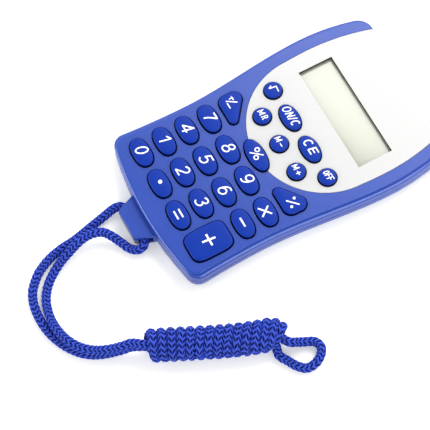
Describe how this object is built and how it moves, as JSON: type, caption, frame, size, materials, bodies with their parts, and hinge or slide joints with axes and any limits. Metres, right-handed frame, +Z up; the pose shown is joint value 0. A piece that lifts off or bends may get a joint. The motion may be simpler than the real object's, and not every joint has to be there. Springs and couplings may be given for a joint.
{
  "type": "calculator",
  "caption": "Slim pocket calculator with a blue waisted case, white display panel, blue oval keys, a battery cap and a knitted blue neck cord wound into a hank",
  "frame": {"origin": "on the surface the case lies on, under the middle of the case with its cord lug", "axes": "+X to the right across the keys, +Y from the keys towards the display, +Z up out of the keys"},
  "size_m": [0.1209, 0.1744, 0.0124],
  "materials": {
    "case_plastic": "moulded blue ABS with a fine satin texture",
    "panel_plastic": "smooth white plastic",
    "key_plastic": "smooth semi-gloss blue plastic with white legends",
    "gasket_rubber": "black foam rubber",
    "lcd_glass": "clear pane over a pale grey-green reflective back",
    "connector_rubber": "striped grey silicone",
    "keypad_rubber": "grey silicone",
    "board_laminate": "green solder mask",
    "chip_resin": "black potting resin",
    "capacitor_ceramic": "tan ceramic with tinned ends",
    "screw_steel": "zinc-plated steel",
    "cell_steel": "bright nickel-plated steel",
    "contact_brass": "spring brass",
    "cord_yarn": "knitted polyester yarn"
  },
  "bodies": {
    "case": {"front_cover": "case_plastic", "rear_cover": "case_plastic", "display_cover": "panel_plastic", "keypad_membrane": "keypad_rubber", "circuit_board": "board_laminate", "controller_chip": "chip_resin", "capacitor": "capacitor_ceramic", "lcd_gasket": "gasket_rubber", "lcd_front_glass": "lcd_glass", "lcd_rear_glass": "lcd_glass", "lcd_connector_strip": "connector_rubber", "case_screw_1": "screw_steel", "case_screw_2": "screw_steel", "case_screw_3": "screw_steel", "case_screw_4": "screw_steel", "case_screw_5": "screw_steel", "case_screw_6": "screw_steel", "board_screw_1": "screw_steel", "board_screw_2": "screw_steel", "board_screw_3": "screw_steel", "board_screw_4": "screw_steel", "button_cell": "cell_steel", "battery_contact_top": "contact_brass", "battery_contact_side": "contact_brass", "cord_strand_left": "cord_yarn", "cord_strand_right": "cord_yarn", "cord_hank": "cord_yarn", "cord_end_loop": "cord_yarn"},
    "battery_cap": {"battery_cap": "case_plastic"},
    "key_0": {"key_0": "key_plastic"},
    "key_1": {"key_1": "key_plastic"},
    "key_2": {"key_2": "key_plastic"},
    "key_3": {"key_3": "key_plastic"},
    "key_4": {"key_4": "key_plastic"},
    "key_5": {"key_5": "key_plastic"},
    "key_6": {"key_6": "key_plastic"},
    "key_7": {"key_7": "key_plastic"},
    "key_8": {"key_8": "key_plastic"},
    "key_9": {"key_9": "key_plastic"},
    "key_decimal": {"key_decimal": "key_plastic"},
    "key_equals": {"key_equals": "key_plastic"},
    "key_plus": {"key_plus": "key_plastic"},
    "key_minus": {"key_minus": "key_plastic"},
    "key_multiply": {"key_multiply": "key_plastic"},
    "key_divide": {"key_divide": "key_plastic"},
    "key_sign": {"key_sign": "key_plastic"},
    "key_percent": {"key_percent": "key_plastic"},
    "key_mr": {"key_mr": "key_plastic"},
    "key_m_minus": {"key_m_minus": "key_plastic"},
    "key_m_plus": {"key_m_plus": "key_plastic"},
    "key_on_c": {"key_on_c": "key_plastic"},
    "key_ce": {"key_ce": "key_plastic"},
    "key_square_root": {"key_square_root": "key_plastic"},
    "key_off": {"key_off": "key_plastic"}
  },
  "joints": [
    {"name": "battery_cap_turn", "type": "hinge", "parent": "case", "child": "battery_cap", "pos_m": [0, 0.05195, 0], "axis": [0, 0, 1], "range_deg": [0, 60]},
    {"name": "key_0_press", "type": "slide", "parent": "case", "child": "key_0", "axis": [0, 0, -1], "range_m": [0, 0.0009], "stiffness_N_per_m": 600},
    {"name": "key_1_press", "type": "slide", "parent": "case", "child": "key_1", "axis": [0, 0, -1], "range_m": [0, 0.0009], "stiffness_N_per_m": 600},
    {"name": "key_2_press", "type": "slide", "parent": "case", "child": "key_2", "axis": [0, 0, -1], "range_m": [0, 0.0009], "stiffness_N_per_m": 600},
    {"name": "key_3_press", "type": "slide", "parent": "case", "child": "key_3", "axis": [0, 0, -1], "range_m": [0, 0.0009], "stiffness_N_per_m": 600},
    {"name": "key_4_press", "type": "slide", "parent": "case", "child": "key_4", "axis": [0, 0, -1], "range_m": [0, 0.0009], "stiffness_N_per_m": 600},
    {"name": "key_5_press", "type": "slide", "parent": "case", "child": "key_5", "axis": [0, 0, -1], "range_m": [0, 0.0009], "stiffness_N_per_m": 600},
    {"name": "key_6_press", "type": "slide", "parent": "case", "child": "key_6", "axis": [0, 0, -1], "range_m": [0, 0.0009], "stiffness_N_per_m": 600},
    {"name": "key_7_press", "type": "slide", "parent": "case", "child": "key_7", "axis": [0, 0, -1], "range_m": [0, 0.0009], "stiffness_N_per_m": 600},
    {"name": "key_8_press", "type": "slide", "parent": "case", "child": "key_8", "axis": [0, 0, -1], "range_m": [0, 0.0009], "stiffness_N_per_m": 600},
    {"name": "key_9_press", "type": "slide", "parent": "case", "child": "key_9", "axis": [0, 0, -1], "range_m": [0, 0.0009], "stiffness_N_per_m": 600},
    {"name": "key_decimal_press", "type": "slide", "parent": "case", "child": "key_decimal", "axis": [0, 0, -1], "range_m": [0, 0.0009], "stiffness_N_per_m": 600},
    {"name": "key_equals_press", "type": "slide", "parent": "case", "child": "key_equals", "axis": [0, 0, -1], "range_m": [0, 0.0009], "stiffness_N_per_m": 600},
    {"name": "key_plus_press", "type": "slide", "parent": "case", "child": "key_plus", "axis": [0, 0, -1], "range_m": [0, 0.0009], "stiffness_N_per_m": 600},
    {"name": "key_minus_press", "type": "slide", "parent": "case", "child": "key_minus", "axis": [0, 0, -1], "range_m": [0, 0.0009], "stiffness_N_per_m": 600},
    {"name": "key_multiply_press", "type": "slide", "parent": "case", "child": "key_multiply", "axis": [0, 0, -1], "range_m": [0, 0.0009], "stiffness_N_per_m": 600},
    {"name": "key_divide_press", "type": "slide", "parent": "case", "child": "key_divide", "axis": [0, 0, -1], "range_m": [0, 0.0009], "stiffness_N_per_m": 600},
    {"name": "key_sign_press", "type": "slide", "parent": "case", "child": "key_sign", "axis": [0, 0, -1], "range_m": [0, 0.0009], "stiffness_N_per_m": 600},
    {"name": "key_percent_press", "type": "slide", "parent": "case", "child": "key_percent", "axis": [0, 0, -1], "range_m": [0, 0.0009], "stiffness_N_per_m": 600},
    {"name": "key_mr_press", "type": "slide", "parent": "case", "child": "key_mr", "axis": [0, 0, -1], "range_m": [0, 0.0009], "stiffness_N_per_m": 600},
    {"name": "key_m_minus_press", "type": "slide", "parent": "case", "child": "key_m_minus", "axis": [0, 0, -1], "range_m": [0, 0.0009], "stiffness_N_per_m": 600},
    {"name": "key_m_plus_press", "type": "slide", "parent": "case", "child": "key_m_plus", "axis": [0, 0, -1], "range_m": [0, 0.0009], "stiffness_N_per_m": 600},
    {"name": "key_on_c_press", "type": "slide", "parent": "case", "child": "key_on_c", "axis": [0, 0, -1], "range_m": [0, 0.0009], "stiffness_N_per_m": 600},
    {"name": "key_ce_press", "type": "slide", "parent": "case", "child": "key_ce", "axis": [0, 0, -1], "range_m": [0, 0.0009], "stiffness_N_per_m": 600},
    {"name": "key_square_root_press", "type": "slide", "parent": "case", "child": "key_square_root", "axis": [0, 0, -1], "range_m": [0, 0.0009], "stiffness_N_per_m": 600},
    {"name": "key_off_press", "type": "slide", "parent": "case", "child": "key_off", "axis": [0, 0, -1], "range_m": [0, 0.0009], "stiffness_N_per_m": 600}
  ]
}
